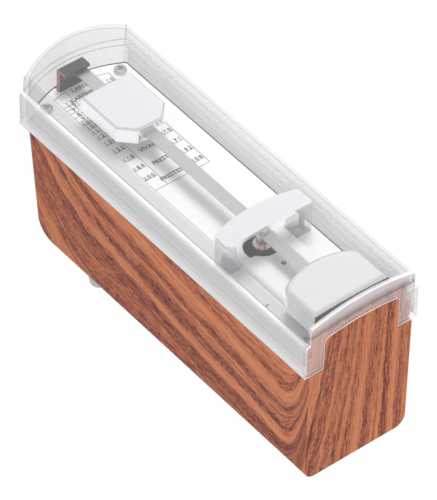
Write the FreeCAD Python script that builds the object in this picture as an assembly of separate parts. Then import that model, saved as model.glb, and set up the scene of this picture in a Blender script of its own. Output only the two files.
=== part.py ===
"""Wind-up tower metronome, small size, standing on its base.

Frame: +Z up along the tower, front towards -Y, origin at the centre of the base.
Lengths are millimetres.
"""
import FreeCAD, Part
import math
import os

# ------------------------------------------------------------------ driving sizes
# Case: a box with an arched top, open at the front
CASE_HALF = 20.0            # half width outside
CASE_WALL = 3.0
CASE_SHOULDER = 139.6       # height where the upright side meets the arch
CASE_RISE = 5.4             # height of the arch above its shoulder
CASE_LEAN = 5.8             # the roof comes down this much towards the back
BASE_THICK = 3.4
Y_BACK = 32.1
Y_RIM = -13.5               # front rim of the case
CAVITY_SHOULDER = 134.5
CAVITY_RISE = 4.4
CAVITY_LEAN = 9.0           # its roof comes down more, to stay inside the rounded back
BACK_TOP_ROUND = 9.0
BACK_SIDE_ROUND = 4.0
TONGUE_ROUND = 2.0
PLATE_POST_R = 1.85
MOVEMENT_POST_R = 2.6
WEB_HALF = 1.2              # half thickness of the webs that hold the posts
POST_REACH = 9.0            # how far the plate posts run back from the rim
TONGUE_HALF = 18.2          # front tongue of the base wall
Y_LEDGE = -19.5
Y_TONGUE_SIDE = -30.0
Y_TONGUE = -31.7

# Scale plate: a shallow pan that rests on the rim
PLATE_HALF = 18.5
PLATE_SHOULDER = 138.0
PLATE_RISE = 5.2
PLATE_FOOT = 3.6
PLATE_THICK = 1.4
PAN_WALL = 1.5
Y_PLATE = -19.05            # printed face
PAD_HALF = 10.3
PAD_HEIGHT = 1.9
PAD_TOP = 45.0
PAD_ROUND = 1.7
PLATE_HOLE_R, PLATE_HOLE_AT = 0.95, (-0.3, 36.5)

# Clear cover
SKIRT_HALF = 21.8
SKIRT_WALL = 1.5
SKIRT_SHOULDER = 140.5
SKIRT_RISE = 6.0
Y_STEP = -26.3              # the skirt steps in here
HOOD_HALF = 20.2
HOOD_WALL = 1.2
HOOD_SHOULDER = 140.6
HOOD_RISE = 5.4
HOOD_LEAN = 0.5             # the end wall comes down this much towards the front
Y_CROWN = -35.9             # highest line of the bowed front
CROWN_DROP = 2.9            # the front falls back this much at its edges
FLANGE_FOOT = 0.15
FLANGE_THICK = 1.2
FLANGE_GAP = 0.3
NOTCH_HALF = 14.6
NOTCH_ROUND = 2.0
FRONT_ROUND = 1.6
STEP_ROUND = 1.0
Y_NOTCH_SIDE = -26.0
Y_NOTCH = -27.4

# Pendulum
Z_PIVOT = 47.2
ROD_WIDTH = 4.5
ROD_THICK = 0.6
ROD_TOP = 138.9
ROD_FOOT = 8.0
Y_ROD = -25.8               # middle of the strip's thickness
ARBOR_R = 1.2
PIVOT_HOLE_R = 6.0
COUNTER_HALF = 14.5
COUNTER_FOOT = 5.2
COUNTER_SHOULDER = 20.3
COUNTER_RISE = 4.2
COUNTER_SHOULDER_ROUND = 5.0
COUNTER_FRONT_ROUND = 2.6
Z_COUNTER_SCREW = 14.5
ROD_PLAY = 0.03             # the rod's room in the counterweight, each side
Y_COUNTER_FRONT = -32.0
Y_COUNTER_BACK = -23.4

# Sliding weight
Z_WEIGHT = 113.6
WEIGHT_HALF = 9.0
WEIGHT_TOP = 10.8
WEIGHT_SIDE_FOOT = -6.3
WEIGHT_FOOT_HALF = 4.4
WEIGHT_FOOT = -10.7
WEIGHT_BEVEL = 0.7
Y_WEIGHT_FRONT = -29.5
Y_WEIGHT_BACK = -23.6
SLIDE_PLAY = 0.06           # the rod's room in the sliding weight
SPRING_ROOM = 0.9           # depth behind the rod for the leaf spring

# Name bridge and clip
BRIDGE_HALF = 17.0
BRIDGE_FOOT = 43.2
BRIDGE_TOP = 50.4
BRIDGE_THICK = 1.2
Y_BRIDGE = -32.2
BRIDGE_BOW = 0.7            # the strip falls back this much at its ends
BRIDGE_RISE = 2.2           # the strip's top edge is this much higher in the middle
BRIDGE_CORNER = 2.2
LEG_SET_IN = 0.5
CLIP_LEFT, CLIP_RIGHT = -6.8, 3.0
CLIP_MIDDLE = (CLIP_LEFT + CLIP_RIGHT) / 2
CLIP_FOOT, CLIP_TOP = 136.8, 141.2
CLIP_THICK = 1.6
CLIP_REACH = 2.1            # the roof stands this far in front of the rod
CLIP_PEG_R = 0.8

# Movement: two plates with the train between them
FRONT_PLATE = (-12.0, -10.5)
BACK_PLATE = (10.5, 12.0)
FRAME_HALF = 15.5
FRAME_FOOT, FRAME_TOP = 35.5, 130.5
FRAME_ROUND = 3.0
PILLAR_R = 2.2
DRIVER_HOLE_R = 2.6         # lets a screwdriver through to the frame screws
BUSH_WALL = 1.2
MODULE = 0.6
BARREL_TEETH, SECOND_PINION_TEETH = 52, 12
SECOND_TEETH, ESCAPE_PINION_TEETH = 50, 10
ESCAPE_TEETH = 18
ESCAPE_R = 15.0
Z_BARREL = 108.0
Z_SECOND = Z_BARREL - MODULE * (BARREL_TEETH + SECOND_PINION_TEETH) / 2
Z_ESCAPE = Z_SECOND - MODULE * (SECOND_TEETH + ESCAPE_PINION_TEETH) / 2
BACKLASH = 0.16
PRESSURE_ANGLE = math.radians(20)
BARREL_R = 13.0
BARREL_WALL = 0.9
BARREL_ARBOR_R = 2.4
TRAIN_ARBOR_R = 0.9
RUNNING = 0.05              # radial clearance of a journal in its bush
RATCHET_TEETH = 20
RATCHET_R = 7.0
RATCHET_DEPTH = 1.3
Y_RATCHET = (12.4, 14.2)
CLICK_PIVOT = (9.6, 97.0)
Y_KEY_SHANK = (15.0, 38.0)
KEY_SHANK_R = 2.0

# Key
KEY_HALF = 15.6
KEY_TILT = 26.6             # degrees the wings stand off level
KEY_HOLE_R = 4.0
KEY_HUB_R = 3.4
KEY_WING = (35.0, 44.0)     # the wings' span along Y
KEY_WING_HALF = 1.2

# Screws: head radius, head height, shank radius, length
PLATE_SCREW = (2.15, 1.3, 0.9, 8.0)
BRIDGE_SCREW = (1.7, 1.1, 0.85, 6.6)
COUNTER_SCREW = (2.0, 1.0, 1.0, 2.0)
PILLAR_SCREW = (1.9, 1.0, 0.9, 6.0)
FRAME_SCREW = (2.0, 1.1, 1.0, 8.0)
CLICK_SCREW = (1.8, 0.9, 0.9, 3.6)
THREAD_PLAY = 0.05          # radial room in the hole a screw bites in
SCREW_ROOM = 0.25           # radial room in the hole a screw passes through

# Fasteners: (x, z) places
PLATE_SCREWS = [(-15.1, 135.6), (14.4, 135.8), (-15.1, 7.6), (15.1, 7.6)]
BRIDGE_SCREWS = [(-15.2, 46.8), (15.2, 46.8)]
PILLARS = [(-10.5, 127.0), (10.5, 127.0), (-12.0, 39.5), (12.0, 39.5)]
FRAME_SCREWS = [(-13.2, 121.0), (13.2, 121.0), (-13.2, 54.5), (13.2, 54.5)]

V = FreeCAD.Vector
ALONG_Y = V(0, 1, 0)


# ------------------------------------------------------------------ shape helpers
def box(x0, x1, y0, y1, z0, z1):
    return Part.makeBox(x1 - x0, y1 - y0, z1 - z0, V(x0, y0, z0))


def disc(radius, y0, y1, x=0.0, z=0.0):
    """A round bar along Y."""
    return Part.makeCylinder(radius, y1 - y0, V(x, y0, z), ALONG_Y)


def ring(outer, inner, y0, y1, x=0.0, z=0.0):
    return disc(outer, y0, y1, x, z).cut(disc(inner, y0 - 1, y1 + 1, x, z))


def joined(first, *others):
    return first.multiFuse(list(others)).removeSplitter()


def mirrored(shape):
    """The shape and its copy on the other side of the middle plane."""
    return [shape, shape.mirror(V(0, 0, 0), V(1, 0, 0))]


def polygon(points):
    return Part.Face(Part.makePolygon(points + points[:1]))


def arch_wire(half, shoulder, rise, y, foot=0.0):
    """Flat foot, upright sides and an arc over the top, at depth y."""
    left_foot, right_foot = V(-half, y, foot), V(half, y, foot)
    left, right = V(-half, y, shoulder), V(half, y, shoulder)
    arc = Part.Arc(right, V(0, y, shoulder + rise), left).toShape()
    return Part.Wire([Part.makeLine(left_foot, right_foot), Part.makeLine(right_foot, right),
                      arc, Part.makeLine(left, left_foot)])


def arch_block(half, shoulder, rise, y0, y1, foot=0.0):
    return Part.Face(arch_wire(half, shoulder, rise, y0, foot)).extrude(V(0, y1 - y0, 0))


def crowned_section(half, y_back, y_side, y_middle, z):
    """Seen from above: straight back and sides, and a bowed front."""
    back = [V(-half, y_back, z), V(half, y_back, z)]
    left, right = V(-half, y_side, z), V(half, y_side, z)
    bow = Part.Arc(right, V(0, y_middle, z), left).toShape()
    return Part.Face(Part.Wire([Part.makeLine(*back), Part.makeLine(back[1], right),
                                bow, Part.makeLine(left, back[0])]))


def edges_where(shape, test):
    """Edges whose middle point passes the test."""
    return [e for e in shape.Edges if test(e.CenterOfMass)]


def turned(shape, degrees, x=0.0, z=0.0):
    """The shape turned about a line along Y."""
    copy = shape.copy()
    copy.rotate(V(x, 0, z), ALONG_Y, degrees)
    return copy


# ------------------------------------------------------------------ gears and screws
def involute(angle):
    return math.tan(angle) - angle


def gear_outline(teeth, addendum, dedendum, first_tooth):
    """Involute teeth as (x, z) points; first_tooth is the direction of one tooth."""
    pitch_r = MODULE * teeth / 2
    base_r = pitch_r * math.cos(PRESSURE_ANGLE)
    root_r = pitch_r - dedendum * MODULE
    tip_r = pitch_r + addendum * MODULE
    start_r = max(base_r, root_r)
    half_at_base = (math.pi / (2 * teeth) - BACKLASH / (2 * pitch_r)
                    + involute(PRESSURE_ANGLE))
    flank = []
    for step in range(5):
        r = start_r + (tip_r - start_r) * step / 4
        flank.append((r, half_at_base - involute(math.acos(min(1.0, base_r / r)))))
    if root_r < start_r:
        flank.insert(0, (root_r, flank[0][1]))
    points = []
    for tooth in range(teeth):
        middle = first_tooth + 2 * math.pi * tooth / teeth
        for r, half in flank:
            points.append((r * math.cos(middle - half), r * math.sin(middle - half)))
        for r, half in reversed(flank):
            points.append((r * math.cos(middle + half), r * math.sin(middle + half)))
    return points


def toothed_disc(points, y0, y1, z):
    """An outline of (x, z) points about a centre at height z, given a thickness."""
    return polygon([V(px, y0, z + pz) for px, pz in points]).extrude(V(0, y1 - y0, 0))


def gear(teeth, y0, y1, z, addendum, dedendum, first_tooth):
    return toothed_disc(gear_outline(teeth, addendum, dedendum, first_tooth), y0, y1, z)


def wheel_cutouts(rim_r, hub_r, spokes, y0, y1, z):
    """The windows between a wheel's spokes."""
    spoke_width = 2.2
    blank = ring(rim_r, hub_r, y0 - 1, y1 + 1, 0, z)
    for spoke in range(spokes):
        bar = box(-spoke_width / 2, spoke_width / 2, y0 - 2, y1 + 2, z, z + rim_r + 1)
        blank = blank.cut(turned(bar, 360.0 * spoke / spokes, 0, z))
    return blank


def bite(screw):
    """Radius of the hole the screw is threaded into."""
    return screw[2] + THREAD_PLAY


def room(screw):
    """Radius of the hole the screw passes through."""
    return screw[2] + SCREW_ROOM


def pan_screw(x, z, y_seat, size, facing=-1):
    """A pan-head cross screw whose head sits on y_seat and faces -Y, or +Y if facing is 1."""
    head_r, head_high, shank_r, length = size
    head = Part.makeCylinder(head_r, head_high, V(x, y_seat, z), V(0, facing, 0))
    rim = edges_where(head, lambda c: abs(c.y - y_seat - facing * head_high) < 0.01)
    head = head.makeFillet(head_high * 0.6, rim)
    shank = Part.makeCylinder(shank_r, length, V(x, y_seat, z), V(0, -facing, 0))
    arm, slot, depth = head_r * 0.55, head_r * 0.13, head_high * 0.55
    y_top = y_seat + facing * head_high
    y0, y1 = sorted((y_top - facing * depth, y_top + facing))
    cross = joined(box(x - arm, x + arm, y0, y1, z - slot, z + slot),
                   box(x - slot, x + slot, y0, y1, z - arm, z + arm))
    return joined(head, shank).cut(cross)


# ------------------------------------------------------------------ case and cover
def notch_block(inset):
    """The block that fills the notch in the cover's end flange, made smaller by inset."""
    half, y_side = NOTCH_HALF - inset, Y_NOTCH_SIDE + inset
    block = crowned_section(half, Y_RIM + 5, y_side, Y_NOTCH + inset, -2).extrude(V(0, 0, 10))
    corners = edges_where(block, lambda c: abs(abs(c.x) - half) < 0.01
                          and abs(c.y - y_side) < 0.01)
    return block.makeFillet(NOTCH_ROUND - inset, corners)


def flange_pocket():
    """Room in the foot of the case for the cover's end flange."""
    outline = box(-CASE_HALF - 5, CASE_HALF + 5, Y_CROWN - 5, Y_RIM + FLANGE_GAP,
                  -1, FLANGE_FOOT + FLANGE_THICK + FLANGE_GAP)
    return outline.cut(notch_block(FLANGE_GAP))


def case_shell():
    front = arch_wire(CASE_HALF, CASE_SHOULDER, CASE_RISE, Y_RIM)
    back = arch_wire(CASE_HALF, CASE_SHOULDER - CASE_LEAN, CASE_RISE, Y_BACK)
    body = Part.makeLoft([front, back], True, True)
    body = body.makeFillet(BACK_TOP_ROUND, edges_where(
        body, lambda c: abs(c.y - Y_BACK) < 0.01 and c.z > CASE_SHOULDER - CASE_LEAN))
    body = body.makeFillet(BACK_SIDE_ROUND, edges_where(
        body, lambda c: abs(c.y - Y_BACK) < 0.01 and abs(abs(c.x) - CASE_HALF) < 0.01))
    inner = CASE_HALF - CASE_WALL
    mouth = arch_wire(inner, CAVITY_SHOULDER, CAVITY_RISE, Y_RIM - 0.1, BASE_THICK)
    rear = arch_wire(inner, CAVITY_SHOULDER - CAVITY_LEAN, CAVITY_RISE, Y_BACK - CASE_WALL, BASE_THICK)
    body = body.cut(Part.makeLoft([mouth, rear], True, True))
    ledge = box(-CASE_HALF, CASE_HALF, Y_LEDGE, Y_RIM, 0, BASE_THICK)
    tongue = crowned_section(TONGUE_HALF, Y_RIM, Y_TONGUE_SIDE, Y_TONGUE, 0)
    tongue = tongue.extrude(V(0, 0, BASE_THICK))
    corners = edges_where(tongue, lambda c: abs(abs(c.x) - TONGUE_HALF) < 0.01
                          and c.y < Y_TONGUE_SIDE + 0.01 and abs(c.z - BASE_THICK / 2) < 0.01)
    tongue = tongue.makeFillet(TONGUE_ROUND, corners)
    shell = joined(body, ledge, tongue, *(plate_posts() + movement_posts()))
    shell = shell.cut(flange_pocket())
    shell = shell.cut(disc(KEY_HOLE_R, Y_BACK - 10, Y_BACK + 1, 0, Z_BARREL))
    for x, z in PLATE_SCREWS:
        shell = shell.cut(disc(bite(PLATE_SCREW), Y_PLATE - 2, Y_RIM + 7.5, x, z))
    for x, z in FRAME_SCREWS:
        shell = shell.cut(disc(bite(FRAME_SCREW), BACK_PLATE[1] - 1, BACK_PLATE[1] + 8, x, z))
    return shell.cut(disc(CLIP_PEG_R + THREAD_PLAY, Y_RIM - 1, Y_RIM + 4,
                          CLIP_MIDDLE, CLIP_TOP - CLIP_THICK / 2))


def web(x, z, y0, y1):
    """A rib from a post at (x, z) to the side wall nearest to it."""
    wall = math.copysign(CASE_HALF - CASE_WALL + 0.5, x)
    x0, x1 = sorted((x, wall))
    return box(x0, x1, y0, y1, z - WEB_HALF, z + WEB_HALF)


def plate_posts():
    """Corner posts that take the scale plate's screws, each with a web to the side wall."""
    posts = []
    y_end = Y_RIM + POST_REACH
    for x, z in PLATE_SCREWS:
        posts.append(disc(PLATE_POST_R, Y_PLATE + PLATE_THICK, y_end, x, z))
        posts.append(web(x, z, Y_RIM, y_end))
    return posts


def movement_posts():
    """Posts from the back wall up to the movement's back plate."""
    posts = []
    y_end = Y_BACK - CASE_WALL + 0.5
    for x, z in FRAME_SCREWS:
        posts.append(disc(MOVEMENT_POST_R, BACK_PLATE[1], y_end, x, z))
        posts.append(web(x, z, BACK_PLATE[1] + 1, y_end))
    return posts


def hood(inset, foot):
    """The bowed front part of the cover, made smaller all round by inset."""
    y_back = Y_STEP + (SKIRT_WALL + 0.5 if inset else 0.0)
    slope = HOOD_LEAN / (Y_STEP - Y_CROWN)
    back = arch_wire(HOOD_HALF - inset, HOOD_SHOULDER - inset + slope * (y_back - Y_STEP),
                     HOOD_RISE, y_back, foot)
    front = arch_wire(HOOD_HALF - inset, HOOD_SHOULDER - inset - HOOD_LEAN - slope,
                      HOOD_RISE, Y_CROWN - 1, foot)
    block = Part.makeLoft([back, front], True, True)
    half = HOOD_HALF + 2
    drop = CROWN_DROP * (half / HOOD_HALF) ** 2
    bow = crowned_section(half, y_back + 5, Y_CROWN + drop + inset, Y_CROWN + inset, foot - 1)
    return block.common(bow.extrude(V(0, 0, 200)))


def clear_cover():
    outer = hood(0.0, FLANGE_FOOT)
    front_edges = edges_where(outer, lambda c: c.y < Y_CROWN + CROWN_DROP + 0.6
                              and c.z > 20)
    outer = outer.makeFillet(FRONT_ROUND, front_edges)
    skirt = arch_block(SKIRT_HALF, SKIRT_SHOULDER, SKIRT_RISE, Y_STEP, Y_RIM, FLANGE_FOOT)
    step_edges = edges_where(skirt, lambda c: abs(c.y - Y_STEP) < 0.01 and c.z > 20)
    skirt = skirt.makeFillet(STEP_ROUND, step_edges)
    shell = joined(outer, skirt)
    inside_foot = FLANGE_FOOT + FLANGE_THICK
    shell = shell.cut(hood(HOOD_WALL, inside_foot))
    shell = shell.cut(arch_block(SKIRT_HALF - SKIRT_WALL, SKIRT_SHOULDER - SKIRT_WALL,
                                 SKIRT_RISE, Y_STEP + SKIRT_WALL, Y_RIM + 1, inside_foot))
    return shell.cut(notch_block(0.0))


# ------------------------------------------------------------------ front dressing
def scale_plate():
    pan = arch_block(PLATE_HALF, PLATE_SHOULDER, PLATE_RISE, Y_PLATE, Y_RIM, PLATE_FOOT)
    inner = PLATE_HALF - PAN_WALL
    pan = pan.cut(arch_block(inner, PLATE_SHOULDER - PAN_WALL, PLATE_RISE,
                             Y_PLATE + PLATE_THICK, Y_RIM + 1, PLATE_FOOT + PAN_WALL))
    pad = box(-PAD_HALF, PAD_HALF, Y_PLATE - PAD_HEIGHT, Y_PLATE + 0.5, 5.0, PAD_TOP)
    pad = pad.makeFillet(PAD_ROUND, edges_where(pad, lambda c: abs(c.y - Y_PLATE + PAD_HEIGHT) < 0.01))
    pan = joined(pan, pad)
    y0, y1 = Y_PLATE - 4, Y_RIM - 1
    pan = pan.cut(disc(PIVOT_HOLE_R, y0, y1, 0, Z_PIVOT))
    pan = pan.cut(disc(PLATE_HOLE_R, y0, y1, *PLATE_HOLE_AT))
    pan = pan.cut(box(-15.5, -13.9, y0, y1, 26.6, 27.2))
    for x, z in PLATE_SCREWS:
        pan = pan.cut(disc(room(PLATE_SCREW), y0, y1, x, z))
    for x, z in BRIDGE_SCREWS:
        pan = pan.cut(disc(room(BRIDGE_SCREW), y0, y1, x, z))
    slit = box(CLIP_LEFT - 0.2, CLIP_RIGHT + 0.2, y0, Y_RIM + 1, CLIP_TOP - 1.8, CLIP_TOP + 5)
    return pan.cut(slit)


def plate_screws():
    return [pan_screw(x, z, Y_PLATE, PLATE_SCREW) for x, z in PLATE_SCREWS]


def name_bridge():
    """A bowed strip across the front on two legs that widen towards the plate."""
    half = BRIDGE_HALF
    y_end = Y_BRIDGE + BRIDGE_BOW
    high = V(0, 0, BRIDGE_TOP - BRIDGE_FOOT)
    inward = V(0, BRIDGE_THICK, 0)
    rise = V(0, 0, BRIDGE_RISE)
    left, right = V(-half, y_end, BRIDGE_FOOT), V(half, y_end, BRIDGE_FOOT)
    left_in, right_in = left + inward, right + inward
    middle = V(0, Y_BRIDGE, BRIDGE_FOOT)
    front = Part.Arc(left, middle, right).toShape()
    rear = Part.Arc(right_in, middle + inward, left_in).toShape()
    strip = Part.Face(Part.Wire([front, Part.makeLine(right, right_in), rear,
                                 Part.makeLine(left_in, left)])).extrude(high + rise)
    strip = strip.makeFillet(0.9, edges_where(strip, lambda c: abs(abs(c.x) - half) < 0.01
                                              and abs(c.y - y_end) < 0.01))
    outline = arch_block(half, BRIDGE_TOP, BRIDGE_RISE, Y_BRIDGE - 1, y_end + BRIDGE_THICK + 1,
                         BRIDGE_FOOT)
    outline = outline.makeFillet(BRIDGE_CORNER, edges_where(
        outline, lambda c: abs(abs(c.x) - half) < 0.01
        and min(abs(c.z - BRIDGE_FOOT), abs(c.z - BRIDGE_TOP)) < 0.01))
    leg_half, leg_foot = half - LEG_SET_IN, BRIDGE_FOOT + LEG_SET_IN
    leg = polygon([V(leg_half, y_end + 0.3, leg_foot), V(leg_half, Y_PLATE, leg_foot),
                   V(10.8, Y_PLATE, leg_foot), V(13.6, y_end + BRIDGE_THICK - 0.4, leg_foot)])
    legs = mirrored(leg.extrude(high - V(0, 0, 2 * LEG_SET_IN)))
    bridge = joined(strip.common(outline), *legs)
    for x, z in BRIDGE_SCREWS:
        bridge = bridge.cut(disc(bite(BRIDGE_SCREW), Y_PLATE - 6, Y_PLATE + 1, x, z))
    return bridge


def bridge_screws():
    y_seat = Y_PLATE + PLATE_THICK
    return [pan_screw(x, z, y_seat, BRIDGE_SCREW, facing=1) for x, z in BRIDGE_SCREWS]


def pendulum_clip():
    """A hook on the rim that reaches over the tip of the rod."""
    roof_front = Y_ROD - CLIP_REACH
    post = box(CLIP_LEFT, CLIP_RIGHT, roof_front, Y_RIM, CLIP_TOP - CLIP_THICK, CLIP_TOP)
    roof = box(CLIP_LEFT, CLIP_RIGHT, roof_front, roof_front + 1.1, CLIP_FOOT, CLIP_TOP)
    hook = joined(post, roof)
    outside = edges_where(hook, lambda c: abs(c.y - roof_front) < 0.01 and c.z > CLIP_TOP - 0.01)
    hook = hook.makeFillet(0.8, outside)
    peg = disc(CLIP_PEG_R, Y_RIM - 0.5, Y_RIM + 3, CLIP_MIDDLE, CLIP_TOP - CLIP_THICK / 2)
    return joined(hook, peg)


# ------------------------------------------------------------------ pendulum
def pendulum_rod():
    half = ROD_WIDTH / 2
    y0, y1 = Y_ROD - ROD_THICK / 2, Y_ROD + ROD_THICK / 2
    strip = box(-half, half, y0, y1, ROD_FOOT, ROD_TOP)
    tip = edges_where(strip, lambda c: abs(c.z - ROD_TOP) < 0.01 and abs(abs(c.x) - half) < 0.01)
    strip = strip.makeFillet(1.2, tip)
    return strip.cut(disc(ARBOR_R, y0 - 1, y1 + 1, 0, Z_PIVOT))


def counterweight():
    body = arch_block(COUNTER_HALF, COUNTER_SHOULDER, COUNTER_RISE,
                      Y_COUNTER_FRONT, Y_COUNTER_BACK, COUNTER_FOOT)
    shoulders = edges_where(body, lambda c: abs(abs(c.x) - COUNTER_HALF) < 0.01
                            and abs(c.z - COUNTER_SHOULDER) < 0.01)
    body = body.makeFillet(COUNTER_SHOULDER_ROUND, shoulders)
    front = edges_where(body, lambda c: abs(c.y - Y_COUNTER_FRONT) < 0.01)
    body = body.makeFillet(COUNTER_FRONT_ROUND, front)
    half, play = ROD_WIDTH / 2 + ROD_PLAY, ROD_THICK / 2 + ROD_PLAY
    slot = box(-half, half, Y_ROD - play, Y_ROD + play, ROD_FOOT - 0.05, COUNTER_SHOULDER + 10)
    body = body.cut(slot)
    return body.cut(disc(bite(COUNTER_SCREW), Y_ROD, Y_COUNTER_BACK + 1, 0, Z_COUNTER_SCREW))


def counterweight_screw():
    return [pan_screw(0, Z_COUNTER_SCREW, Y_COUNTER_BACK, COUNTER_SCREW, facing=1)]


def pendulum_hub():
    """Brass boss that the rod is riveted to, with a flange behind."""
    y_front = Y_ROD + ROD_THICK / 2
    boss = joined(disc(2.0, y_front, -20.5, 0, Z_PIVOT), disc(3.0, -20.7, -18.9, 0, Z_PIVOT))
    return boss.cut(disc(ARBOR_R, y_front - 1, -17, 0, Z_PIVOT))


def pendulum_arbor():
    """Steel staff from the rod to the back plate, with a riveted head in front of the rod."""
    staff = disc(ARBOR_R, Y_ROD - 0.4, BACK_PLATE[1], 0, Z_PIVOT)
    y_face = Y_ROD - ROD_THICK / 2
    head = disc(2.0, y_face - 0.9, y_face, 0, Z_PIVOT)
    head = head.makeFillet(0.5, edges_where(head, lambda c: abs(c.y - y_face + 0.9) < 0.01))
    return joined(staff, head)


def pallets():
    """Two arms on the staff whose tips stand just outside the escape wheel."""
    y0, y1 = 2.6, 4.6
    hub = disc(2.6, y0, y1, 0, Z_PIVOT)
    nib_x, nib_z = 5.0, 7.2
    reach = polygon([V(0.4, y0, Z_PIVOT + 1.6), V(2.4, y0, Z_PIVOT - 0.4),
                     V(nib_x + 1.0, y0, Z_PIVOT + nib_z - 1.4), V(nib_x, y0, Z_PIVOT + nib_z),
                     V(nib_x - 0.9, y0, Z_PIVOT + nib_z - 1.6)])
    arms = mirrored(reach.extrude(V(0, y1 - y0, 0)))
    return joined(hub, *arms).cut(disc(ARBOR_R, y0 - 1, y1 + 1, 0, Z_PIVOT))


def sliding_weight():
    def outline(grow, y):
        half, foot_half = WEIGHT_HALF + grow, WEIGHT_FOOT_HALF + grow / 2
        top, side, foot = WEIGHT_TOP + grow, WEIGHT_SIDE_FOOT, WEIGHT_FOOT - grow
        return [V(x, y, Z_WEIGHT + z) for x, z in
                [(-half, top), (-half, side), (-foot_half, foot),
                 (foot_half, foot), (half, side), (half, top)]]
    y_bevel = Y_WEIGHT_FRONT + WEIGHT_BEVEL
    front = Part.makePolygon(outline(0, Y_WEIGHT_FRONT) + outline(0, Y_WEIGHT_FRONT)[:1])
    wide = Part.makePolygon(outline(WEIGHT_BEVEL, y_bevel) + outline(WEIGHT_BEVEL, y_bevel)[:1])
    bevel = Part.makeLoft([front, wide], True, True)
    body = polygon(outline(WEIGHT_BEVEL, y_bevel)).extrude(V(0, Y_WEIGHT_BACK - y_bevel, 0))
    block = joined(bevel, body)
    half = ROD_WIDTH / 2 + SLIDE_PLAY
    tunnel = box(-half, half, Y_ROD - ROD_THICK / 2 - SLIDE_PLAY, Y_ROD + ROD_THICK / 2 + SPRING_ROOM,
                 Z_WEIGHT - 20, Z_WEIGHT + 20)
    return block.cut(tunnel)


def weight_spring():
    """A thin bowed leaf between the rod and the back of the tunnel."""
    y_rest = Y_ROD + ROD_THICK / 2 + 0.75
    y_bow = Y_ROD + ROD_THICK / 2 + 0.08
    thick, reach = 0.12, 7.5
    def arc(y_end, y_middle):
        return Part.Arc(V(-1.6, y_end, Z_WEIGHT - reach), V(-1.6, y_middle, Z_WEIGHT),
                        V(-1.6, y_end, Z_WEIGHT + reach)).toShape()
    near, far = arc(y_rest, y_bow), arc(y_rest + thick, y_bow + thick)
    ends = [Part.makeLine(n.Point, f.Point) for n, f in zip(near.Vertexes, far.Vertexes)]
    return Part.Face(Part.Wire(Part.__sortEdges__([near, far] + ends))).extrude(V(3.2, 0, 0))


# ------------------------------------------------------------------ movement frame
def frame_plate(y0, y1):
    plate = box(-FRAME_HALF, FRAME_HALF, y0, y1, FRAME_FOOT, FRAME_TOP)
    corners = edges_where(plate, lambda c: abs(c.y - (y0 + y1) / 2) < 0.01)
    plate = plate.makeFillet(FRAME_ROUND, corners)
    for x, z in PILLARS:
        plate = plate.cut(disc(room(PILLAR_SCREW), y0 - 1, y1 + 1, x, z))
    for z in (Z_BARREL, Z_SECOND, Z_ESCAPE, Z_PIVOT):
        plate = plate.cut(disc(bush_outer(z), y0 - 1, y1 + 1, 0, z))
    return plate


def front_frame_plate():
    plate = frame_plate(*FRONT_PLATE)
    for x, z in FRAME_SCREWS:
        plate = plate.cut(disc(DRIVER_HOLE_R, FRONT_PLATE[0] - 1, FRONT_PLATE[1] + 1, x, z))
    return plate


def back_frame_plate():
    plate = frame_plate(*BACK_PLATE)
    for x, z in FRAME_SCREWS:
        plate = plate.cut(disc(room(FRAME_SCREW), BACK_PLATE[0] - 1, BACK_PLATE[1] + 1, x, z))
    return plate.cut(disc(bite(CLICK_SCREW), BACK_PLATE[0] - 1, BACK_PLATE[1] + 1, *CLICK_PIVOT))


def frame_pillars():
    return [ring(PILLAR_R, bite(PILLAR_SCREW), FRONT_PLATE[1], BACK_PLATE[0], x, z)
            for x, z in PILLARS]


def pillar_screws():
    screws = []
    for x, z in PILLARS:
        screws.append(pan_screw(x, z, FRONT_PLATE[0], PILLAR_SCREW))
        screws.append(pan_screw(x, z, BACK_PLATE[1], PILLAR_SCREW, facing=1))
    return screws


def frame_screws():
    return [pan_screw(x, z, BACK_PLATE[0], FRAME_SCREW) for x, z in FRAME_SCREWS]


def journal_r(z):
    if z == Z_BARREL:
        return BARREL_ARBOR_R
    return ARBOR_R if z == Z_PIVOT else TRAIN_ARBOR_R


def bush_outer(z):
    return journal_r(z) + BUSH_WALL


def bushes(plate_span):
    y0, y1 = plate_span
    return [ring(bush_outer(z), journal_r(z) + RUNNING, y0, y1, 0, z)
            for z in (Z_BARREL, Z_SECOND, Z_ESCAPE, Z_PIVOT)]


# ------------------------------------------------------------------ going train
def barrel_drum():
    """Drum for the mainspring with the great wheel cut on its front end."""
    wheel = gear(BARREL_TEETH, -3.2, -1.2, Z_BARREL, 0.85, 1.25, -math.pi / 2)
    drum = disc(BARREL_R, -1.2, 8.4, 0, Z_BARREL)
    hollow = disc(BARREL_R - BARREL_WALL, -0.2, 9.0, 0, Z_BARREL)
    return joined(wheel, drum).cut(hollow).cut(
        disc(BARREL_ARBOR_R + RUNNING, -5, 9, 0, Z_BARREL))


def barrel_cap():
    return ring(BARREL_R - BARREL_WALL, BARREL_ARBOR_R + RUNNING, 7.4, 8.4, 0, Z_BARREL)


def mainspring():
    """Flat coiled spring: a spiral strip, given its width."""
    turns, inner_r, outer_r, thick = 7, 3.6, BARREL_R - 1.25, 0.3
    steps = turns * 20
    near, far = [], []
    for step in range(steps + 1):
        angle = 2 * math.pi * turns * step / steps
        r = inner_r + (outer_r - inner_r) * step / steps
        for side, offset in ((near, 0.0), (far, thick)):
            side.append(V((r + offset) * math.cos(angle), 0.2,
                          Z_BARREL + (r + offset) * math.sin(angle)))
    return polygon(near + far[::-1]).extrude(V(0, 6.8, 0))


def second_arbor():
    staff = disc(TRAIN_ARBOR_R, FRONT_PLATE[0], BACK_PLATE[1], 0, Z_SECOND)
    gap_up = math.pi / 2 + math.pi / SECOND_PINION_TEETH
    pinion = gear(SECOND_PINION_TEETH, -3.8, -0.4, Z_SECOND, 0.9, 1.25, gap_up)
    seat = disc(2.0, -7.6, -3.8, 0, Z_SECOND)
    return joined(staff, pinion, seat)


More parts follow.
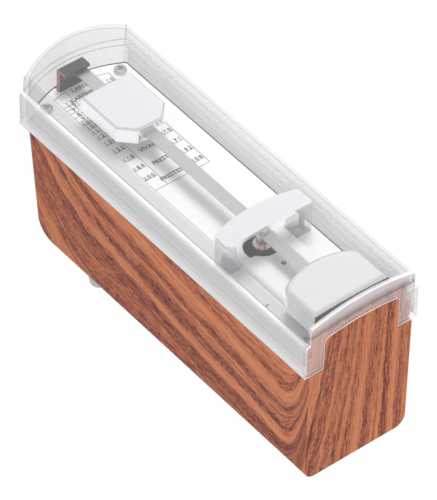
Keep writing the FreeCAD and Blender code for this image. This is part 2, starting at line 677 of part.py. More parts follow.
def second_wheel():
    y0, y1 = -7.6, -6.2
    wheel = gear(SECOND_TEETH, y0, y1, Z_SECOND, 0.85, 1.25, -math.pi / 2)
    wheel = wheel.cut(wheel_cutouts(12.0, 4.5, 4, y0, y1, Z_SECOND))
    return wheel.cut(disc(2.0, y0 - 1, y1 + 1, 0, Z_SECOND))


def escape_arbor():
    staff = disc(TRAIN_ARBOR_R, FRONT_PLATE[0], BACK_PLATE[1], 0, Z_ESCAPE)
    gap_up = math.pi / 2 + math.pi / ESCAPE_PINION_TEETH
    pinion = gear(ESCAPE_PINION_TEETH, -8.6, -5.4, Z_ESCAPE, 0.9, 1.25, gap_up)
    seat = disc(1.7, -5.4, 4.2, 0, Z_ESCAPE)
    return joined(staff, pinion, seat)


def escape_wheel():
    """Pointed teeth that lean the way the wheel turns."""
    y0, y1 = 3.0, 4.2
    root_r, points = ESCAPE_R - 3.2, []
    pitch = 2 * math.pi / ESCAPE_TEETH
    for tooth in range(ESCAPE_TEETH):
        start = tooth * pitch
        for r, part in ((root_r, 0.0), (ESCAPE_R, 0.62), (ESCAPE_R, 0.70), (root_r, 0.78)):
            points.append((r * math.cos(start + part * pitch), r * math.sin(start + part * pitch)))
    wheel = toothed_disc(points, y0, y1, Z_ESCAPE)
    wheel = wheel.cut(wheel_cutouts(10.0, 4.0, 4, y0, y1, Z_ESCAPE))
    return wheel.cut(disc(1.7, y0 - 1, y1 + 1, 0, Z_ESCAPE))


# ------------------------------------------------------------------ winding parts
def barrel_arbor():
    """Winding arbor: journals in both plates, a threaded end for the key."""
    staff = disc(BARREL_ARBOR_R, FRONT_PLATE[0], Y_KEY_SHANK[0], 0, Z_BARREL)
    return joined(staff, disc(KEY_SHANK_R, *Y_KEY_SHANK, 0, Z_BARREL))


def ratchet_wheel():
    y0, y1 = Y_RATCHET
    points = []
    pitch = 2 * math.pi / RATCHET_TEETH
    for tooth in range(RATCHET_TEETH):
        start = tooth * pitch
        for r, angle in ((RATCHET_R - RATCHET_DEPTH, start - 0.06), (RATCHET_R, start)):
            points.append((r * math.cos(angle), r * math.sin(angle)))
    wheel = toothed_disc(points, y0, y1, Z_BARREL)
    return wheel.cut(disc(BARREL_ARBOR_R, y0 - 1, y1 + 1, 0, Z_BARREL))


def click():
    """The pawl, its nose just clear of the ratchet's tips."""
    y0, y1 = Y_RATCHET
    px, pz = CLICK_PIVOT
    nose_x, nose_z = 7.2, 104.2
    arm = polygon([V(px - 1.7, y0, pz + 0.5), V(px + 1.7, y0, pz - 0.2),
                   V(px + 0.6, y0, pz + 5.6), V(nose_x, y0, nose_z), V(nose_x - 0.3, y0, nose_z - 1.5)])
    lever = joined(disc(2.1, y0, y1, px, pz), arm.extrude(V(0, y1 - y0, 0)))
    return lever.cut(disc(bite(CLICK_SCREW), y0 - 1, y1 + 1, px, pz))


def click_screw():
    return [pan_screw(*CLICK_PIVOT, Y_RATCHET[1], CLICK_SCREW, facing=1)]


def click_spring():
    """A bent wire-like leaf that bears on the outside of the click."""
    y0, y1 = Y_RATCHET[0], Y_RATCHET[1] - 0.6
    path = [(13.2, 90.5), (13.2, 100.5), (10.9, 103.6)]
    thick = 0.35
    leaf = [V(x, y0, z) for x, z in path] + [V(x + thick, y0, z) for x, z in reversed(path)]
    foot = box(11.6, 14.6, y0, y1, 88.0, 90.5)
    return joined(polygon(leaf).extrude(V(0, y1 - y0, 0)), foot)


def winding_key():
    """Wing key with a round hub, screwed on the end of the winding arbor."""
    y_hub = Y_BACK + 0.6
    hub = disc(KEY_HUB_R, y_hub, Y_KEY_SHANK[1] + 2.5, 0, Z_BARREL)
    wing = box(-KEY_HALF, KEY_HALF, *KEY_WING, Z_BARREL - KEY_WING_HALF, Z_BARREL + KEY_WING_HALF)
    ends = edges_where(wing, lambda c: abs(abs(c.x) - KEY_HALF) < 0.01
                       and abs(c.z - Z_BARREL) < 0.01)
    wing = wing.makeFillet(4.0, ends)
    rims = edges_where(wing, lambda c: abs(abs(c.z - Z_BARREL) - KEY_WING_HALF) < 0.01)
    wing = wing.makeFillet(0.5, rims)
    key = joined(hub, wing).cut(disc(KEY_SHANK_R, y_hub - 1, Y_KEY_SHANK[1], 0, Z_BARREL))
    return turned(key, KEY_TILT, 0, Z_BARREL)


# ------------------------------------------------------------------ the assembly
NODES = {
    "case_shell": case_shell, "clear_cover": clear_cover, "scale_plate": scale_plate,
    "plate_screws": plate_screws, "name_bridge": name_bridge, "bridge_screws": bridge_screws,
    "pendulum_clip": pendulum_clip, "pendulum_rod": pendulum_rod,
    "counterweight": counterweight, "counterweight_screw": counterweight_screw,
    "pendulum_hub": pendulum_hub, "pendulum_arbor": pendulum_arbor, "pallets": pallets,
    "sliding_weight": sliding_weight, "weight_spring": weight_spring,
    "front_frame_plate": front_frame_plate, "back_frame_plate": back_frame_plate,
    "frame_pillars": frame_pillars, "pillar_screws": pillar_screws,
    "frame_screws": frame_screws,
    "front_bushes": lambda: bushes(FRONT_PLATE), "back_bushes": lambda: bushes(BACK_PLATE),
    "barrel_drum": barrel_drum, "barrel_cap": barrel_cap, "mainspring": mainspring,
    "second_arbor": second_arbor, "second_wheel": second_wheel,
    "escape_arbor": escape_arbor, "escape_wheel": escape_wheel,
    "barrel_arbor": barrel_arbor, "ratchet_wheel": ratchet_wheel,
    "click": click, "click_screw": click_screw, "click_spring": click_spring,
    "winding_key": winding_key,
}

os.makedirs("parts", exist_ok=True)
for name, make in NODES.items():
    shape = make()
    if isinstance(shape, list):
        shape = Part.makeCompound(shape)
    size = shape.BoundBox
    print(f"{name:20s} valid {shape.isValid()} solids {len(shape.Solids)} "
          f"volume {shape.Volume:9.2f} x {size.XMin:.2f}..{size.XMax:.2f} "
          f"y {size.YMin:.2f}..{size.YMax:.2f} z {size.ZMin:.2f}..{size.ZMax:.2f}")
    shape.exportStep(f"parts/{name}.step")
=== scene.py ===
# %% [markdown]
# A pocket-size tower metronome. The wood-printed case, the clear cover and all the
# working parts come from the CAD model as a fixed frame. Blender adds the printed scale
# and every finish. The lesson starts with camera and light, then makes one finish after
# another, and ends with the three pieces that only Blender has: the print on the scale
# plate, the lit edges of the cover and the line of painted shadow round the plate.

# %% Load the frame
import bmesh
import bpy
import math
from mathutils import Matrix, Vector


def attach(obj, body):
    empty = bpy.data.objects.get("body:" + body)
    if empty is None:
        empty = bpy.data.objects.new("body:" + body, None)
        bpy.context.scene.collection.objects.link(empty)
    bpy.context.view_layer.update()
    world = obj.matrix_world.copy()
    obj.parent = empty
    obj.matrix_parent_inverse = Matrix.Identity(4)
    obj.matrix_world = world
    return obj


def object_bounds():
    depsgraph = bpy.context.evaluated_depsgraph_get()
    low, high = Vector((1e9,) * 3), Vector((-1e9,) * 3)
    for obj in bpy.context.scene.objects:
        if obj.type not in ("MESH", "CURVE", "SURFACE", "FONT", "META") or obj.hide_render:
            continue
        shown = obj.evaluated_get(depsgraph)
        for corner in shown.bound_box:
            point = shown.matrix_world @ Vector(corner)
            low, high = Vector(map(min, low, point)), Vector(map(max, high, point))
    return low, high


MM = 0.001
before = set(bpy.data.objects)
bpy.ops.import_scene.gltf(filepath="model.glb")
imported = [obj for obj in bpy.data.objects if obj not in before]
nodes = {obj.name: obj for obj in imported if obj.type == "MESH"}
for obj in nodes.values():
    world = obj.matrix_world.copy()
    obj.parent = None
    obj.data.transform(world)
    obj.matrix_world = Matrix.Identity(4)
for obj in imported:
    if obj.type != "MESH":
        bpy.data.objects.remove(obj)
cad_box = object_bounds()

# %% [markdown]
# The object is shown lying on its back, seen from its foot. The frame stands upright, so
# the camera stands below and in front instead, and looks up along the tower. A long lens
# far away keeps the sides nearly parallel. The three vectors say where the camera stands,
# which way it looks, and which way its right-hand side points.

# %% Camera
CAMERA_AT = Vector((-661.6, -1019.9, -719.9)) * MM
LOOK = Vector((0.45707, 0.70354, 0.54418)).normalized()
ACROSS = Vector((0.77921, -0.02173, -0.62639)).normalized()
LENS = 337.0

camera = bpy.data.objects.new("camera", bpy.data.cameras.new("camera"))
up = ACROSS.cross(LOOK).normalized()
camera.matrix_world = Matrix.Translation(CAMERA_AT) @ Matrix(
    (ACROSS, up, -LOOK)).transposed().to_4x4()
camera.data.lens = LENS
camera.data.sensor_width = 36.0
camera.data.clip_start, camera.data.clip_end = 0.01, 20.0
scene = bpy.context.scene
scene.collection.objects.link(camera)
scene.camera = camera
print("camera stands", round(CAMERA_AT.length, 2), "m away")

# %% [markdown]
# Pale enamel, bright metal and clear sheet are all drawn by what surrounds them. A white
# tent gives that: light from everywhere, and more of it from the upper right in front. The
# world is plain white behind the object, and a soft grey-white all round for everything
# that the surfaces reflect.

# %% World
TENT_DIM, TENT_BRIGHT = 0.66, 0.95
BRIGHT_SIDE = (0.457, -0.704, 0.544)
BRIGHT_FROM, BRIGHT_FULL = 0.2, 0.95       # cosines of the angle from the bright side
scene.view_settings.view_transform = "Standard"
world = bpy.data.worlds.new("white tent")
scene.world = world
world.use_nodes = True
tent = world.node_tree
tent.nodes.clear()
sight = tent.nodes.new("ShaderNodeLightPath")
toward = tent.nodes.new("ShaderNodeTexCoord")
turn = tent.nodes.new("ShaderNodeVectorMath")
swell = tent.nodes.new("ShaderNodeMapRange")
plain = tent.nodes.new("ShaderNodeBackground")
around = tent.nodes.new("ShaderNodeBackground")
chosen = tent.nodes.new("ShaderNodeMixShader")
drawn = tent.nodes.new("ShaderNodeOutputWorld")
plain.inputs["Color"].default_value = (1.0, 1.0, 1.0, 1.0)
plain.inputs["Strength"].default_value = 1.0
around.inputs["Color"].default_value = (0.98, 0.99, 1.0, 1.0)
turn.operation = "DOT_PRODUCT"
turn.inputs[1].default_value = BRIGHT_SIDE
swell.interpolation_type = "SMOOTHSTEP"
for socket, value in zip(swell.inputs[1:5],
                         (BRIGHT_FROM, BRIGHT_FULL, TENT_DIM, TENT_BRIGHT)):
    socket.default_value = value
tent.links.new(toward.outputs["Generated"], turn.inputs[0])
tent.links.new(turn.outputs["Value"], swell.inputs[0])
tent.links.new(swell.outputs[0], around.inputs["Strength"])
tent.links.new(sight.outputs["Is Camera Ray"], chosen.inputs[0])
tent.links.new(around.outputs[0], chosen.inputs[1])
tent.links.new(plain.outputs[0], chosen.inputs[2])
tent.links.new(chosen.outputs[0], drawn.inputs["Surface"])
print("the tent's strength runs from", TENT_DIM, "to", TENT_BRIGHT)

# %% [markdown]
# Three large lamps add direction to the tent. They are hidden from reflections, because a
# lamp mirrored in the bright parts would burn a white patch into their flat faces.

# %% Lamps
AIM_HEIGHT = 70                            # millimetres above the base


def softbox(name, at, width, height, power):
    """A rectangular lamp at a place in millimetres that faces the middle of the tower."""
    lamp = bpy.data.lights.new(name, "AREA")
    lamp.shape, lamp.size, lamp.size_y = "RECTANGLE", width * MM, height * MM
    lamp.energy = power
    holder = bpy.data.objects.new(name, lamp)
    holder.location = Vector(at) * MM
    aim = Vector((0, 0, AIM_HEIGHT)) * MM - holder.location
    holder.rotation_euler = aim.to_track_quat("-Z", "Y").to_euler()
    holder.visible_glossy = False
    scene.collection.objects.link(holder)


softbox("front light", (200, -760, 250), 300, 300, 3.9)
softbox("side fill", (-700, -150, -250), 500, 500, 0.6)
softbox("foot fill", (150, -250, -700), 400, 400, 0.5)

# %% [markdown]
# Every finish is a small program of nodes. Wired one by one, such a program is hard to
# read, so a class wraps a socket and turns + - * / into Math nodes. A finish is then
# written as plain formulas over the place on the object, in millimetres.

# %% Shader arithmetic
class Socket:
    """One output socket of a finish. Arithmetic on it adds Math nodes."""

    def __init__(self, finish, out):
        self.finish, self.out = finish, out

    def math(self, operation, *values):
        return self.finish.node("Math", {"operation": operation}, dict(enumerate(values)))

    def __add__(self, other):
        return self.math("ADD", self, other)

    def __sub__(self, other):
        return self.math("SUBTRACT", self, other)

    def __rsub__(self, other):
        return self.math("SUBTRACT", other, self)

    def __mul__(self, other):
        return self.math("MULTIPLY", self, other)

    def __truediv__(self, other):
        return self.math("DIVIDE", self, other)

    def __rtruediv__(self, other):
        return self.math("DIVIDE", other, self)

    def __neg__(self):
        return self.math("MULTIPLY", self, -1.0)

    def __abs__(self):
        return self.math("ABSOLUTE", self)

    def at_least(self, low):
        return self.math("MAXIMUM", self, low)

    def at_most(self, high):
        return self.math("MINIMUM", self, high)

    def ramp(self, low, high):
        """0 below low, 1 above high, smooth between."""
        return self.finish.node("MapRange", {"interpolation_type": "SMOOTHSTEP"},
                                {0: self, 1: low, 2: high, 3: 0.0, 4: 1.0})

    __radd__ = __add__
    __rmul__ = __mul__


# %% [markdown]
# Any other node, such as a noise or a ramp, comes from one method. It takes the node's
# type, its settings, and the values or links of its sockets, and it hands back a socket,
# so the arithmetic goes on from there.

# %% Finish
class Finish:
    """A material, with one method that adds any node to it."""

    def __init__(self, name):
        self.material = bpy.data.materials.new(name)
        self.material.use_nodes = True
        self.tree = self.material.node_tree
        self.tree.nodes.clear()

    def node(self, kind, settings=None, inputs=None, out=0):
        made = self.tree.nodes.new("ShaderNode" + kind)
        for key, value in (settings or {}).items():
            if key == "stops":
                self.set_stops(made.color_ramp.elements, value)
            else:
                setattr(made, key, value)
        for key, value in (inputs or {}).items():
            if isinstance(value, Socket):
                self.tree.links.new(value.out, made.inputs[key])
            else:
                made.inputs[key].default_value = value
        return Socket(self, made.outputs[out])

    @staticmethod
    def set_stops(elements, stops):
        while len(elements) < len(stops):
            elements.new(0.5)
        for element, (place, value) in zip(elements, stops):
            element.position = place
            element.color = (*value, 1.0) if isinstance(value, tuple) else (value,) * 3 + (1.0,)

    def place(self):
        """Position on the object in millimetres: x, y and z sockets."""
        point = self.node("TexCoord", out="Object")
        return [self.node("SeparateXYZ", inputs={0: point}, out=axis) * 1000.0
                for axis in "XYZ"]

    def vector(self, x, y, z):
        return self.node("CombineXYZ", inputs={0: x, 1: y, 2: z})

    def noise(self, vector, detail=2.0, roughness=0.5, scale=1.0):
        return self.node("TexNoise", inputs={"Vector": vector, "Scale": scale,
                                             "Detail": detail, "Roughness": roughness})

    def mix(self, factor, first, second):
        return self.node("Mix", {"data_type": "RGBA"}, {0: factor, 6: first, 7: second}, out=2)

    def bump(self, height, strength, distance):
        return self.node("Bump", inputs={"Height": height, "Strength": strength,
                                         "Distance": distance * MM})

    def surface(self, shader):
        output = self.tree.nodes.new("ShaderNodeOutputMaterial")
        self.tree.links.new(shader.out, output.inputs["Surface"])
        print(self.material.name, "has", len(self.tree.nodes), "nodes")
        return self.material

    def principled(self, **inputs):
        names = {key: key.replace("_", " ").title().replace("Ior", "IOR") for key in inputs}
        return self.node("BsdfPrincipled",
                         inputs={names[key]: value for key, value in inputs.items()})


# %% [markdown]
# Shaders work in linear light, but a colour is easier to judge as a screen shows it. One
# function goes from the screen's numbers to the shader's, and another darkens a colour.

# %% Colours
def colour(red, green, blue):
    """A screen colour from 0 to 255 as the linear colour that a shader takes."""
    def linear(value):
        share = value / 255
        return share / 12.92 if share <= 0.04045 else ((share + 0.055) / 1.055) ** 2.4
    return (linear(red), linear(green), linear(blue), 1.0)


def darker(tint, share):
    """A linear colour with its light cut to a share."""
    return (*(part * share for part in tint[:3]), 1.0)


print("mid grey is", round(colour(128, 128, 128)[0], 3), "as a linear value")

# %% [markdown]
# The floor lies under the base, on the far side of the object for this camera. Its back
# is transparent, so the camera sees through it from below, and only the camera sees it
# at all, so it takes no light away from the base.

# %% Floor
FLOOR_HALF = 900
FLOOR_DROP = 0.1                           # just below the base, so they never touch
floor_mesh = bpy.data.meshes.new("floor")
floor_mesh.from_pydata([Vector((x, y, -FLOOR_DROP)) * MM
                        for x, y in ((-FLOOR_HALF, -FLOOR_HALF), (FLOOR_HALF, -FLOOR_HALF),
                                     (FLOOR_HALF, FLOOR_HALF), (-FLOOR_HALF, FLOOR_HALF))],
                       [], [(0, 1, 2, 3)])
floor = bpy.data.objects.new("floor", floor_mesh)
scene.collection.objects.link(floor)
floor.visible_diffuse = floor.visible_glossy = False
floor.visible_transmission = floor.visible_shadow = False
paper = Finish("floor paper")
behind = paper.node("NewGeometry", out="Backfacing")
sheet = paper.principled(base_color=colour(240, 240, 240), roughness=0.8)
floor.data.materials.append(paper.surface(
    paper.node("MixShader", inputs={0: behind, 1: sheet, 2: paper.node("BsdfTransparent")})))
print("floor is", 2 * FLOOR_HALF, "mm across")

# %% [markdown]
# The case is moulded plastic wrapped in a wood-print film. A print like that copies one
# flat-sawn board: long streaks that close into arches at one end. The finish builds a
# "growth line" number for each point of the side, and every streak follows the lines
# where that number stays the same. The end face is another cut, with streaks that run
# straight back and fan out a little to the left.

# %% Growth lines
# Where the dark growth lines lie, as (line number, darkness), for the side and the end
SIDE_RINGS = [(-16, 0.3), (-10, 0.1), (-6, 0.3), (-2, 0.62), (2, 0.05), (5, 0.2), (8.4, 0.85),
              (11, 0.3), (13.5, 0.4), (16, 1.0), (18, 0.4), (21, 0.05), (24.5, 0.9), (29, 0.75),
              (33, 0.5), (38, 0.75), (44, 0.6), (50, 0.2), (58, 0.8), (66, 0.3), (78, 0.8)]
END_RINGS = [(-17, 0.2), (-15.2, 0.1), (-13.6, 0.9), (-12, 0.4), (-10.4, 0.75), (-8, 0.2),
             (-6.8, 0.65), (-5, 0.35), (-3.5, 0.6), (-2, 0.1), (-0.8, 0.65), (0.5, 0.5),
             (2.8, 0.0), (4.6, 0.7), (7.5, 0.4), (8.4, 0.5), (9.3, 0.1), (10.6, 1.0),
             (12, 0.55), (14.4, 0.0), (16, 0.65), (18.5, 0.35)]


def rings(wood, line, table):
    """Darkness along growth lines, from a table of (line, darkness)."""
    low, high = table[0][0], table[-1][0]
    stops = [((at - low) / (high - low), dark) for at, dark in table]
    return wood.node("ValToRGB", {"stops": stops}, {0: (line - low) / (high - low)})


print("growth lines:", len(SIDE_RINGS), "on the side and", len(END_RINGS), "on the end")

# %% [markdown]
# The lines run up the tower and lean a little to the front. They bend over near the foot
# and near the top, and two slow noises make them waver. The colour comes from the table
# and four more noises, each drawn out along the lines: broad streaks, strokes, fine
# fibres and short dashes. The inside of the shell is bare dark plastic, so the print
# stops where the walls turn inwards.

# %% Wood print
FOOT_BEND, HEAD_BEND, HEAD_SPAN = 15.0, 98.0, 31.0     # heights where the lines bend
INSIDE_HALF, INSIDE_FLOOR, INSIDE_BACK = 17.3, 3.2, 29.4
ROOF_TOP, ROOF_BEND, ROOF_FRONT, ROOF_FALL = 141.5, 0.0135, -13.5, 0.127


def wood_print():
    wood = Finish("wood print")
    x, y, z = wood.place()
    girth = x + y + 20.0                       # runs round the side, the back and on
    drift = wood.noise(wood.vector(x * 0.02, girth * 0.05, z * 0.022), 2.0) - 0.5
    ripple = wood.noise(wood.vector(x * 0.05, girth * 0.25, z * 0.07), 3.0) - 0.5
    foot = (1.0 - z / FOOT_BEND).at_least(0.0)
    head = ((z - HEAD_BEND) / HEAD_SPAN).at_least(0.0)
    side_line = (girth + (z - 20.0) * 0.153 + foot * foot * foot * 28.0
                 + head * head * 12.0 + drift * 4.0 + ripple * 3.0)
    fan = ((10.9 - x) / 21.2).at_least(0.0).at_most(1.4)
    end_line = x + fan * (y + 15.0) * 0.128 + drift * 1.2 + ripple * 0.8
    facing = wood.node("SeparateXYZ", inputs={0: wood.node("NewGeometry", out="Normal")}, out="Z")
    on_end = abs(facing).ramp(0.55, 0.75)
    line = side_line * (1.0 - on_end) + (end_line * 1.6) * on_end
    along = z * (1.0 - on_end) + y * on_end

    ring = (rings(wood, side_line, SIDE_RINGS) * (1.0 - on_end)
            + rings(wood, end_line, END_RINGS) * on_end)
    streaks = wood.noise(wood.vector(line * 0.7, along * 0.022, on_end * 7.0), 4.0, 0.65)
    strokes = wood.noise(wood.vector(line * 1.7, along * 0.16, 5.0), 2.0, 0.6)
    fibres = wood.noise(wood.vector(line * 3.4, along * 0.17, 2.0), 2.0, 0.55)
    dashes = wood.noise(wood.vector(line * 2.6, along * 0.75, 9.0), 1.0, 0.5)
    depth = ring * 0.50 + (streaks - 0.5) * 1.0 + 0.22
    tone = depth + (strokes - 0.5) * 0.55 + (fibres - 0.5) * 0.8
    pores = dashes.ramp(0.57, 0.61) * depth.ramp(0.30, 0.62)
    cracks = fibres.ramp(0.54, 0.57) * depth.ramp(0.22, 0.58)
    printed = wood.node("ValToRGB", {"stops": [
        (0.08, colour(236, 152, 104)[:3]), (0.36, colour(220, 134, 92)[:3]),
        (0.58, colour(192, 108, 80)[:3]), (0.80, colour(142, 78, 66)[:3]),
        (1.0, colour(98, 54, 56)[:3])]}, {0: tone})
    printed = wood.mix((pores * 0.9 + cracks * 0.8).at_most(0.92), printed, colour(72, 34, 44))

    roof = ROOF_TOP - x * x * ROOF_BEND - (y - ROOF_FRONT) * ROOF_FALL
    inside = ((INSIDE_HALF - abs(x)).ramp(0.0, 0.1) * (z - INSIDE_FLOOR).ramp(0.0, 0.1)
              * (INSIDE_BACK - y).ramp(0.0, 0.1) * (roof - z).ramp(0.0, 0.1))
    skin = wood.mix(inside, printed, colour(64, 42, 36))
    grain = wood.bump(fibres - tone * 0.5, 0.10, 0.05)
    shader = wood.principled(base_color=skin, roughness=0.46 + fibres * 0.12,
                             specular_ior_level=0.22, normal=grain)
    return wood.surface(shader)


case_finish = wood_print()

# %% [markdown]
# The cover is a thin clear moulding. Solid glass would bend what lies behind it, which a
# wall this thin hardly does, so the finish is polished plastic that is mostly transparent.
# Its alpha, the veil, is built region by region: nearly nothing on the front, more at a
# glancing angle and on the side walls, and milky on the skirt. The milky skirt, whitest
# at the rim, is painted light, piped through the thick plastic. Grey lines run along the
# skirt. The tint holds painted shade at a glancing angle, on the side walls and across the
# front of the foot flange.

# %% Clear plastic
SKIRT_FRONT, SKIRT_HALF, RIM_FRONT = -26.5, 19.9, -16.9
FLANGE_TOP = 1.6
FOOT_SHADE_REACH, FOOT_SHADE_CURVE = -30.0, 0.0035      # the painted shade at the front of the foot ends in a shallow curve


def clear_plastic():
    clear = Finish("clear plastic")
    x, y, z = clear.place()
    cloud = clear.noise(clear.vector(x * 0.08, y * 0.08, z * 0.02), 2.0)
    graze = clear.node("LayerWeight", inputs={"Blend": 0.30}, out="Facing")
    skirt = (y - SKIRT_FRONT).ramp(0.0, 0.4) * (abs(x) - SKIRT_HALF).ramp(0.0, 0.3)
    rim = (y - RIM_FRONT).ramp(0.0, 0.5)
    flange = (FLANGE_TOP - z).ramp(0.0, 0.3)
    veil = 0.05 + graze * graze * 0.30 + (cloud - 0.5) * 0.03
    lines = clear.noise(clear.vector(3.0, 7.0, y * 1.5), 3.0, 0.7)
    # painted light: the skirt, and most of all its rim, is made milky as if the thick plastic
    # piped light
    veil = veil + (skirt * 0.50 + skirt * rim * 0.25) * (1.0 - flange) + flange * 0.18
    veil = veil + skirt * (lines - 0.5) * 0.5
    bow = y - FOOT_SHADE_REACH - x * x * FOOT_SHADE_CURVE
    # painted shade: a dark grey band across the front of the foot flange, also made less clear
    front_foot_shade = flange * (-bow).ramp(0.0, 0.5)
    veil = veil + front_foot_shade * 0.34
    across = clear.node("SeparateXYZ", inputs={0: clear.node("NewGeometry", out="Normal")},
                        out="Y")
    # painted shade: walls that face neither front nor back are made greyer and less clear
    wall = (1.0 - abs(across).ramp(0.3, 0.8)) * (1.0 - skirt) * (1.0 - flange)
    veil = veil + wall * 0.15
    # painted shade: the tint greys at a glancing angle
    tint = clear.mix(graze, colour(240, 240, 241), colour(220, 221, 223))
    tint = clear.mix(skirt * lines.ramp(0.54, 0.62), tint, colour(188, 189, 192))
    # painted light: the skirt turns near-white towards the rim
    tint = clear.mix(rim * skirt, tint, colour(246, 246, 248))
    tint = clear.mix(wall * 0.85, tint, colour(196, 197, 199))
    # painted shade: dark grey along the curve, fading over about 3 mm
    tint = clear.mix(front_foot_shade * (1.0 - (-bow).ramp(0.2, 3.2)), tint, colour(112, 114, 114))
    shader = clear.principled(base_color=tint, roughness=0.08,
                              alpha=veil.at_most(0.92), specular_ior_level=0.35)
    return clear.surface(shader)


cover_finish = clear_plastic()

# %% [markdown]
# The plate is stamped sheet with a satin light-grey enamel. Fine orange peel in the
# enamel breaks up the reflections, and the colour drifts a little. The dark clip and the
# inks are the same kind of coat in other tones, so one function makes them all.

# %% Enamel
def enamel(name, tint, gloss, coarse=1.0, stain=None):
    """Paint with orange peel; a stain is (x in mm, colour) for all that lies left of x."""
    paint = Finish(name)
    x, y, z = paint.place()
    peel = paint.noise(paint.vector(x * 1.6, y * 1.6, z * 1.6), 2.0, scale=coarse)
    drift = paint.noise(paint.vector(x * 0.04, y * 0.04, z * 0.02), 1.0)
    shade = paint.mix((drift - 0.3).at_least(0.0), tint, darker(tint, 0.94))
    if stain:
        shade = paint.mix((stain[0] - x).ramp(0.0, 0.05), shade, stain[1])
    shader = paint.principled(base_color=shade, roughness=gloss + (peel - 0.5) * 0.08,
                              normal=paint.bump(peel, 0.06, 0.03))
    return paint.surface(shader)


# %% [markdown]
# Three kinds of metal show. Plated parts are mirrors with faint waves from polishing. The
# rod and the key are brushed, so their noise is drawn out along one direction. The brass
# and steel parts inside the movement are turned, with the same trick in other colours.

# %% Metals
POLISH_WAVES = 0.02                        # strength of the waves left by polishing


def metal(name, tint, roughness, stretch=(1.0, 1.0, 1.0), marks=0.1):
    """Bare metal; stretch is the noise's pitch along x, y and z, low along the brushing."""
    plate = Finish(name)
    x, y, z = plate.place()
    scratch = plate.noise(plate.vector(x * stretch[0], y * stretch[1], z * stretch[2]), 4.0, 0.6)
    wave = plate.noise(plate.vector(x * 0.12, y * 0.12, z * 0.12), 1.0)
    tone = plate.mix((scratch - 0.4).at_least(0.0) * marks * 2.0, tint, darker(tint, 0.8))
    shader = plate.principled(base_color=tone, metallic=1.0,
                              roughness=roughness + (scratch - 0.5) * marks,
                              normal=plate.bump(wave + scratch * 0.1, POLISH_WAVES, 0.2))
    return plate.surface(shader)


# %% [markdown]
# The bridge is one clear moulding. Only its front strip is plated, so the legs let the
# plate show through, and they are seen by outlines of painted shade, darker where the legs
# turn away from the view.

# %% Bridge plating
STRIP_BACK = -30.7                         # the plating ends here, and the legs begin


def half_plated():
    plating = Finish("plated front")
    x, y, z = plating.place()
    wave = plating.noise(plating.vector(x * 0.12, y * 0.12, z * 0.12), 1.0)
    rub = plating.noise(plating.vector(x * 2.0, y * 2.0, z * 2.0), 2.0)
    legs = (y - STRIP_BACK).ramp(0.0, 0.5)
    outline_shade = plating.node("LayerWeight", inputs={"Blend": 0.3}, out="Facing")
    tint = plating.mix(legs, colour(246, 246, 248), colour(205, 207, 210))
    # painted shade: the legs darken where they are seen edge-on
    tint = plating.mix(legs * outline_shade.ramp(0.4, 0.9), tint, colour(120, 122, 126))
    see_through = 0.30 + outline_shade.ramp(0.3, 0.95) * 0.45
    shader = plating.principled(
        base_color=tint, metallic=1.0 - legs, roughness=0.12 + (rub - 0.5) * 0.03,
        alpha=1.0 - legs * (1.0 - see_through),
        normal=plating.bump(wave, POLISH_WAVES, 0.2))
    return plating.surface(shader)


bridge_finish = half_plated()

# %% [markdown]
# Each CAD node keeps its shape and only changes its material slot. One table holds the
# finishes, and another says which node wears which.

# %% Paint the nodes
finishes = {
    "wood": case_finish, "bridge": bridge_finish, "clear": cover_finish,
    "plate": enamel("plate enamel", colour(222, 222, 222), 0.38),
    "chrome": metal("bright chrome", colour(246, 246, 248), 0.12, marks=0.03),
    "cast": metal("plated casting", colour(242, 242, 243), 0.22, marks=0.05),
    "rod": metal("brushed rod", colour(206, 206, 206), 0.42, (9.0, 2.0, 0.15), 0.2),
    "screw": metal("zinc screw", colour(214, 212, 210), 0.24, (2.0, 2.0, 2.0), 0.2),
    "clip": enamel("dark clip", colour(46, 45, 45), 0.14, 2.0, (-6.7, colour(160, 96, 82))),
    "brass": metal("brass", colour(205, 170, 110), 0.28, (3.0, 0.4, 3.0), 0.15),
    "boss": metal("pale bronze", colour(226, 208, 202), 0.22, (1.5, 0.5, 1.5), 0.1),
    # painted shade: the frame plates are darkened so that the pivot hole shows dark
    "hole_shade": metal("steel darkened as hole shade", colour(30, 30, 32), 0.45, (0.4, 4.0, 4.0), 0.15),
    "steel": metal("turned steel", colour(176, 176, 178), 0.3, (0.4, 4.0, 4.0), 0.15),
    "spring": metal("blued spring", colour(86, 96, 120), 0.3, (0.4, 4.0, 0.4), 0.15),
    "key": metal("key steel", colour(222, 222, 222), 0.35, (0.5, 4.0, 0.5), 0.15),
}
wears = {
    "case_shell": "wood", "clear_cover": "clear", "scale_plate": "plate",
    "plate_screws": "screw", "name_bridge": "bridge", "bridge_screws": "screw",
    "pendulum_clip": "clip", "pendulum_rod": "rod", "counterweight": "cast",
    "counterweight_screw": "screw", "pendulum_hub": "boss", "pendulum_arbor": "boss",
    "pallets": "steel", "sliding_weight": "chrome", "weight_spring": "spring",
    "front_frame_plate": "hole_shade", "back_frame_plate": "hole_shade", "frame_pillars": "steel",
    "pillar_screws": "screw", "frame_screws": "screw", "front_bushes": "brass",
    "back_bushes": "brass", "barrel_drum": "brass", "barrel_cap": "brass",
    "mainspring": "spring", "second_arbor": "steel", "second_wheel": "brass",
    "escape_arbor": "steel", "escape_wheel": "brass", "barrel_arbor": "steel",
    "ratchet_wheel": "steel", "click": "steel", "click_screw": "screw",
    "click_spring": "spring", "winding_key": "key",
}
for name, node in nodes.items():
    node.data.materials.clear()
    node.data.materials.append(finishes[wears[name]])
cover = nodes["clear_cover"]
cover.visible_shadow = cover.visible_diffuse = False    # clear sheet lets the light through
print("painted", len(wears), "nodes with", len(finishes), "finishes")

